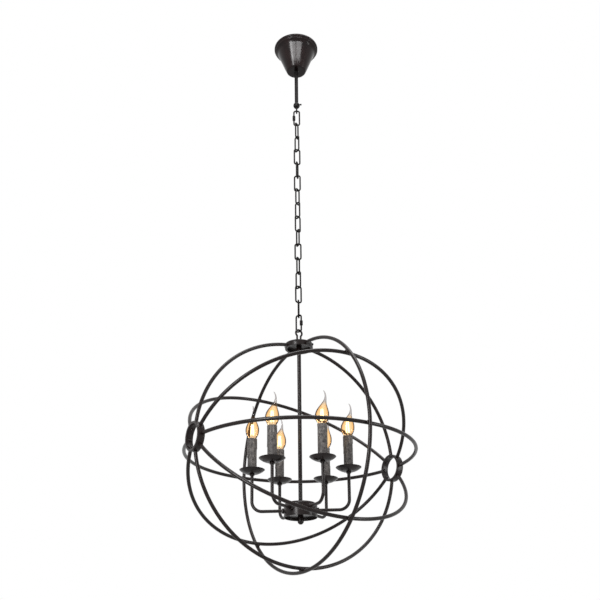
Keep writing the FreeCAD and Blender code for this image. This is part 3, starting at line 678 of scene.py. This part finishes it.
def build_arms():
    centre_z = sum(c.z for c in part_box("drum")) / 2
    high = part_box("arm_1")[1].z
    for index in range(CANDLES):
        bm = bmesh.new()
        run = CANDLE_CIRCLE - ARM_BEND - ARM_START
        start = Vector((ARM_START, 0, centre_z))
        bend = Vector((CANDLE_CIRCLE - ARM_BEND, 0, centre_z + ARM_BEND))
        rise = Z * (high - centre_z - ARM_BEND)
        bent_bar(bm, ARM_BAR, start, X, [X * run, (bend, -Y, math.pi / 2), rise], sides=24, arc_step=1.8 * MM)
        bmesh.ops.transform(bm, matrix=at_candle(index), verts=bm.verts)
        node = "arm_%d" % (index + 1)
        make_piece(node + "_tube", bm, bronze, "orb", (node,))
    bm = bmesh.new()
    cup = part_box("drip_cups")[0].z
    corner = ARM_NUT_FLATS / math.sqrt(3)
    inner = math.sqrt((DRUM_RADIUS - DRUM_WALL) ** 2 - corner ** 2) - ARM_NUT_HEIGHT
    for index in range(CANDLES):
        for place, way in ((Vector((DRUM_RADIUS, 0, centre_z)), X), (Vector((inner, 0, centre_z)), X),
                           (Vector((CANDLE_CIRCLE, 0, cup - ARM_NUT_HEIGHT)), Z)):
            hex_nut(bm, ARM_NUT_FLATS, ARM_NUT_HEIGHT, ARM_BAR, at_candle(index) @ frame_at(place, way))
    make_piece("arm_lock_nuts", bm, bronze, "orb", ("arm_nuts",))


def build_cups():
    low, high = (c.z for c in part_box("drip_cups"))
    wall = 1.2 * MM
    seat, knee = 13.3 * MM, low + 3.0 * MM
    outer = [(ARM_BAR, low, 0), (seat, low, 2 * MM), (23.5 * MM, knee, 8 * MM),
             (32 * MM, high - 0.3 * MM, 0.4 * MM), (31.4 * MM, high, 0.3 * MM)]
    inner = [(22.8 * MM, knee + wall, 8 * MM), (seat, low + wall, 2 * MM), (ARM_BAR, low + wall, 0)]
    bm = bmesh.new()
    for index in range(CANDLES):
        centre = at_candle(index) @ Vector((CANDLE_CIRCLE, 0, 0))
        turned(bm, outer + inner, Matrix.Translation(centre), steps=72)
    make_piece("spun_drip_cups", bm, bronze, "orb", ("drip_cups",))


def drip_runs(rng):
    """Wax runs on one sleeve: angle, start and end as shares of the height, half width and relief."""
    runs = []
    for k in range(9):
        angle = (k + rng.uniform(-0.3, 0.3)) * math.tau / 9
        top = 1.02 if rng.random() < 0.7 else rng.uniform(0.45, 0.85)
        length = rng.uniform(0.18, 0.62)
        runs.append((angle, top, top - length, rng.uniform(1.2, 2.0) * MM, rng.uniform(0.5, 0.95) * MM))
    for k in range(8):
        place = rng.uniform(0.06, 0.8)
        runs.append((rng.uniform(0, math.tau), place, place - 0.03, rng.uniform(1.0, 1.7) * MM, 0.7 * MM))
    return runs


def drip_relief(runs, angle, share, radius):
    """Height of the wax above the sleeve at one place. The rounded lower end of each run is fuller."""
    relief = 0.0
    for run_angle, top, end, half_width, height in runs:
        swing = (angle - run_angle + math.pi) % math.tau - math.pi
        sideways = swing * radius
        below = max(end - share, 0.0) * SLEEVE_LENGTH
        above = max(share - top, 0.0) * SLEEVE_LENGTH
        fuller = 1.0 + 0.45 * math.exp(-((share - end) * SLEEVE_LENGTH / (4 * MM)) ** 2)
        spread = half_width * fuller
        away = (sideways ** 2 + below ** 2 + above ** 2) / spread ** 2
        if away < 1:
            relief = max(relief, height * fuller * math.sqrt(1 - away))
    return relief


def build_sleeves():
    low, high = (c.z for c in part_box("candle_sleeves"))
    height = high - low
    round_steps, rise_steps = 120, 84
    shell = SLEEVE_RADIUS - SLEEVE_RELIEF
    for index in range(CANDLES):
        runs = drip_runs(random.Random(40 + index))
        bm = bmesh.new()
        profile = [(shell, low, 0), (shell, high, 0), (shell - 0.6 * MM, high, 0), (shell - 0.6 * MM, low, 0)]
        turned(bm, profile, steps=round_steps)
        uprights = [e for e in bm.edges if abs(e.verts[0].co.z - e.verts[1].co.z) > height * 0.9
                    and e.verts[0].co.xy.length > shell - 0.1 * MM]
        bmesh.ops.subdivide_edges(bm, edges=uprights, cuts=rise_steps, use_grid_fill=True)
        level = bm.verts.layers.float.new("drip_height")
        for vert in bm.verts:
            radius = vert.co.xy.length
            if radius < shell - 0.1 * MM:
                continue
            angle = math.atan2(vert.co.y, vert.co.x)
            share = (vert.co.z - low) / height
            relief = drip_relief(runs, angle, share, SLEEVE_RADIUS)
            lip = 0.8 * MM * math.exp(-((1 - share) * height / (2.2 * MM)) ** 2)
            wander = 0.12 * MM * math.sin(5 * angle + 9 * share) * math.sin(17 * share)
            relief = min(max(relief, lip) + wander + 0.15 * MM, SLEEVE_RELIEF)
            # the relief's share, which the sleeve's material turns into a painted highlight on the drips and
            # lip
            vert[level] = max(relief, 0) / SLEEVE_RELIEF
            vert.co.xy = vert.co.xy * (shell + relief) / radius
        centre = at_candle(index) @ Vector((CANDLE_CIRCLE, 0, 0))
        bmesh.ops.translate(bm, vec=centre, verts=bm.verts)
        replaced = ("candle_sleeves",) if index == 0 else ()
        make_piece("wax_sleeve_%d" % (index + 1), bm, wax, "orb", replaced, crease=80)


# Glass of a lamp, ring by ring: height above its foot, lean of the ring's centre and radius, in millimetres.
FLAME = ((0.0, 0.0, 8.6), (6, 0.0, 11.6), (10, 0.0, 13.8), (14, 0.0, 15.6), (18.5, 0.0, 16.9),
         (23, 0.0, 17.4), (27.5, 0.2, 17.3), (32, 0.6, 16.6), (37, 1.2, 14.9), (42, 2.0, 12.6),
         (46, 2.8, 10.5), (50, 3.8, 8.4), (54, 5.1, 6.4), (58, 6.4, 4.8), (62, 7.6, 3.6), (66, 8.6, 2.7),
         (70, 9.1, 2.2), (74, 9.2, 1.8), (78, 8.7, 1.6), (82, 7.6, 1.4), (85, 6.1, 1.25), (88, 4.2, 1.1))
FILAMENT_CIRCLE = 4.2 * MM
FILAMENT_LENGTH = 28 * MM


def flame_lamp(base, bm):
    """Blown glass of a lamp: a full belly, a drawn shoulder and a thin tail that curls back."""
    depth = bm.verts.layers.float.new("amber_depth")
    ring = None
    for height, lean, radius in FLAME:
        centre = Vector((lean * MM, 0, base + height * MM))
        if ring is None:
            ring = bmesh.ops.create_circle(bm, segments=28, radius=radius * MM,
                                           matrix=Matrix.Translation(centre))["verts"]
            rim = list({e for v in ring for e in v.link_edges})
            first = rim
        else:
            made = bmesh.ops.extrude_edge_only(bm, edges=rim)["geom"]
            ring = [v for v in made if isinstance(v, bmesh.types.BMVert)]
            rim = [e for e in made if isinstance(e, bmesh.types.BMEdge) and all(v in ring for v in e.verts)]
            middle = sum((v.co for v in ring), Vector()) / len(ring)
            grow = radius * MM / (ring[0].co - middle).length
            bmesh.ops.scale(bm, vec=(grow, grow, 1), space=Matrix.Translation(-middle), verts=ring)
            bmesh.ops.translate(bm, vec=centre - middle, verts=ring)
        for vert in ring:
            vert[depth] = min(1.0, 0.3 + height / 20, max(0.0, (60 - height) / 12))
    bmesh.ops.contextual_create(bm, geom=rim)
    bmesh.ops.contextual_create(bm, geom=first)
    return bm


def build_lamps():
    holder_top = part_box("lamp_holders")[1].z
    base = holder_top + 0.5 * MM
    for index in range(CANDLES):
        body = "lamp_%d" % (index + 1)
        spin = Matrix.Rotation(math.radians(LAMP_TIP_TURNS[index]), 4, "Z")
        place = Matrix.Translation(at_candle(index) @ Vector((CANDLE_CIRCLE, 0, 0))) @ spin
        bm = flame_lamp(base, bmesh.new())
        bmesh.ops.transform(bm, matrix=place, verts=bm.verts)
        glass = make_piece("flame_glass_%d" % (index + 1), bm, lamp_glass, body, (body,), crease=80)
        smooth = glass.modifiers.new("blown curve", "SUBSURF")
        smooth.levels = smooth.render_levels = 1
        build_lamp_insides(index, base, place, body)


def build_lamp_insides(index, base, place, body):
    """Screw cap, glass stem with its two wires, and the cage of upright lit filaments on them."""
    bm = turned(bmesh.new(), [(0, base + 0.2 * MM, 0), (6.7 * MM, base + 0.2 * MM, 0.3 * MM),
                              (6.9 * MM, base - 19 * MM, 0.8 * MM), (3 * MM, base - 21 * MM, 0.3 * MM),
                              (3 * MM, base - 23 * MM, 0.4 * MM), (0, base - 23 * MM, 0)], place, steps=32)
    make_piece("lamp_cap_%d" % (index + 1), bm, nickel, body)
    bm = turned(bmesh.new(), [(0, base + 16 * MM, 0), (1.6 * MM, base + 16 * MM, 0.7 * MM),
                              (1.9 * MM, base + 6 * MM, 1 * MM), (4.6 * MM, base + 0.6 * MM, 0),
                              (0, base + 0.6 * MM, 0)], place, steps=24)
    make_piece("lamp_stem_%d" % (index + 1), bm, glass_bead, body)
    bm = bmesh.new()
    for hand in (1, -1):
        start = Vector((1.0 * MM * hand, 0, base + 14 * MM))
        bent_bar(bm, 0.25 * MM, start, Z, [Vector((3.2 * MM * hand, 0, 17 * MM))], sides=8)
    bmesh.ops.transform(bm, matrix=place, verts=bm.verts)
    make_piece("lamp_wires_%d" % (index + 1), bm, nickel, body)
    bm = bmesh.new()
    for turn in range(0, 360, 60):
        foot = heading(turn) * FILAMENT_CIRCLE + Z * (base + 12 * MM)
        bent_bar(bm, 0.5 * MM, foot, Z, [Z * FILAMENT_LENGTH - heading(turn) * 1.6 * MM], sides=8)
    bmesh.ops.transform(bm, matrix=place, verts=bm.verts)
    make_piece("lamp_filament_%d" % (index + 1), bm, filament_glow, body)


# ------------------------------------------------------------ CAD nodes that stay, with better finishes
def dress_kept_nodes():
    finishes = {"mounting_bar": zinc, "rod_nut": zinc, "stem_nuts": bronze, "lamp_holders": holder_black}
    for name, material in finishes.items():
        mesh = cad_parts[name].data
        for slot in range(len(mesh.materials)):
            mesh.materials[slot] = material


# ------------------------------------------------------------ studio
FLOOR_LEVEL = -2.5
FLOOR_HALF_WIDTH = 9
FLOOR_FADE = (2.6, 5.5)     # distances from the ceiling fixing over which the floor turns white to the camera
FLOOR_WHITE = 0.7           # share of plain white at the near end of the fade; the rest takes the shadow


def build_floor():
    """Pale floor under the hanging orb: it keeps the shadow and fades to white further out."""
    bm = bmesh.new()
    bmesh.ops.create_grid(bm, x_segments=1, y_segments=1, size=FLOOR_HALF_WIDTH)
    bmesh.ops.translate(bm, vec=Vector((0, 0, FLOOR_LEVEL)), verts=bm.verts)
    mesh = bpy.data.meshes.new("floor")
    bm.to_mesh(mesh)
    bm.free()
    material, tree, output = new_material("pale_floor_paint")
    shadowed = add(tree, "ShaderNodeBsdfDiffuse", {"Color": linear("#f4f4f2")})
    pale = add(tree, "ShaderNodeEmission", {"Color": linear("#ffffff"), "Strength": 1.0})
    rays = add(tree, "ShaderNodeLightPath")
    place = add(tree, "ShaderNodeTexCoord")
    far = add(tree, "ShaderNodeVectorMath", {0: place.outputs["Object"]}, operation="LENGTH")
    fade = add(tree, "ShaderNodeMapRange", {"Value": far.outputs["Value"], "From Min": FLOOR_FADE[0],
                                            "From Max": FLOOR_FADE[1], "To Min": FLOOR_WHITE, "To Max": 1.0})
    seen = add(tree, "ShaderNodeMath", {0: rays.outputs["Is Camera Ray"], 1: fade.outputs["Result"]},
               operation="MULTIPLY")
    share = add(tree, "ShaderNodeMath", {0: seen.outputs["Value"], 1: rays.outputs["Is Glossy Ray"]},
                operation="MAXIMUM")
    shader = add(tree, "ShaderNodeMixShader", {0: share.outputs["Value"], 1: shadowed.outputs["BSDF"],
                                               2: pale.outputs["Emission"]})
    tree.links.new(shader.outputs["Shader"], output.inputs["Surface"])
    mesh.materials.append(material)
    floor = bpy.data.objects.new("floor", mesh)
    bpy.context.scene.collection.objects.link(floor)


def build_world():
    """White to the camera, in reflections and through glass, and a softer level on the object."""
    world = bpy.data.worlds.new("studio")
    bpy.context.scene.world = world
    world.use_nodes = True
    tree = world.node_tree
    tree.nodes.clear()
    rays = add(tree, "ShaderNodeLightPath")
    through = add(tree, "ShaderNodeMath", {0: rays.outputs["Is Camera Ray"],
                                           1: rays.outputs["Is Transmission Ray"]}, operation="MAXIMUM")
    seen = add(tree, "ShaderNodeMath", {0: through.outputs["Value"], 1: rays.outputs["Is Glossy Ray"]},
               operation="MAXIMUM")
    soft = add(tree, "ShaderNodeBackground", {"Color": linear("#ffffff"), "Strength": 0.25})
    white = add(tree, "ShaderNodeBackground", {"Color": linear("#ffffff"), "Strength": 1.0})
    mixed = add(tree, "ShaderNodeMixShader", {0: seen.outputs["Value"], 1: soft.outputs["Background"],
                                             2: white.outputs["Background"]})
    add(tree, "ShaderNodeOutputWorld", {"Surface": mixed.outputs["Shader"]})


def add_softbox(name, place, target, size, energy):
    light = bpy.data.lights.new(name, "AREA")
    light.shape = "RECTANGLE"
    light.size, light.size_y = size
    light.energy = energy
    lamp = bpy.data.objects.new(name, light)
    lamp.location = place
    lamp.rotation_euler = (target - place).to_track_quat("-Z", "Y").to_euler()
    lamp.visible_camera = False
    bpy.context.scene.collection.objects.link(lamp)


def build_lights():
    target = Vector((0, 0, -0.9))
    add_softbox("left_softbox", Vector((-1.5, -2.6, -0.6)), target, (0.65, 2.4), 95)
    add_softbox("right_softbox", Vector((2.7, -0.8, -1.2)), target, (0.25, 2.0), 22)
    add_softbox("top_softbox", Vector((0.2, -0.5, 1.2)), target, (1.6, 1.6), 40)
    for side, name in ((-1, "canopy_left_softbox"), (1, "canopy_right_softbox")):
        place = Vector((side * 0.21, -0.6, -0.045))
        add_softbox(name, place, place + Y, (0.38, 0.10), 2.6)


def build_camera():
    camera = bpy.data.cameras.new("camera")
    camera.lens = CAMERA_LENS
    camera.sensor_width = 36
    camera.shift_y = CAMERA_RISE
    eye = bpy.data.objects.new("camera", camera)
    eye.matrix_world = (Matrix.Translation(CAMERA_PLACE) @ Matrix.Rotation(math.pi / 2 + CAMERA_PITCH, 4, "X")
                        @ Matrix.Rotation(CAMERA_ROLL, 4, "Z"))
    bpy.context.scene.collection.objects.link(eye)
    bpy.context.scene.camera = eye


build_camera()
build_canopy()
build_rod_and_eye()
build_chain()
build_hubs()
build_hoops()
build_hang_loop()
build_stem()
build_drum()
build_arms()
build_cups()
build_sleeves()
build_lamps()
dress_kept_nodes()
build_floor()
build_world()
build_lights()
bpy.context.scene.view_settings.view_transform = "Standard"
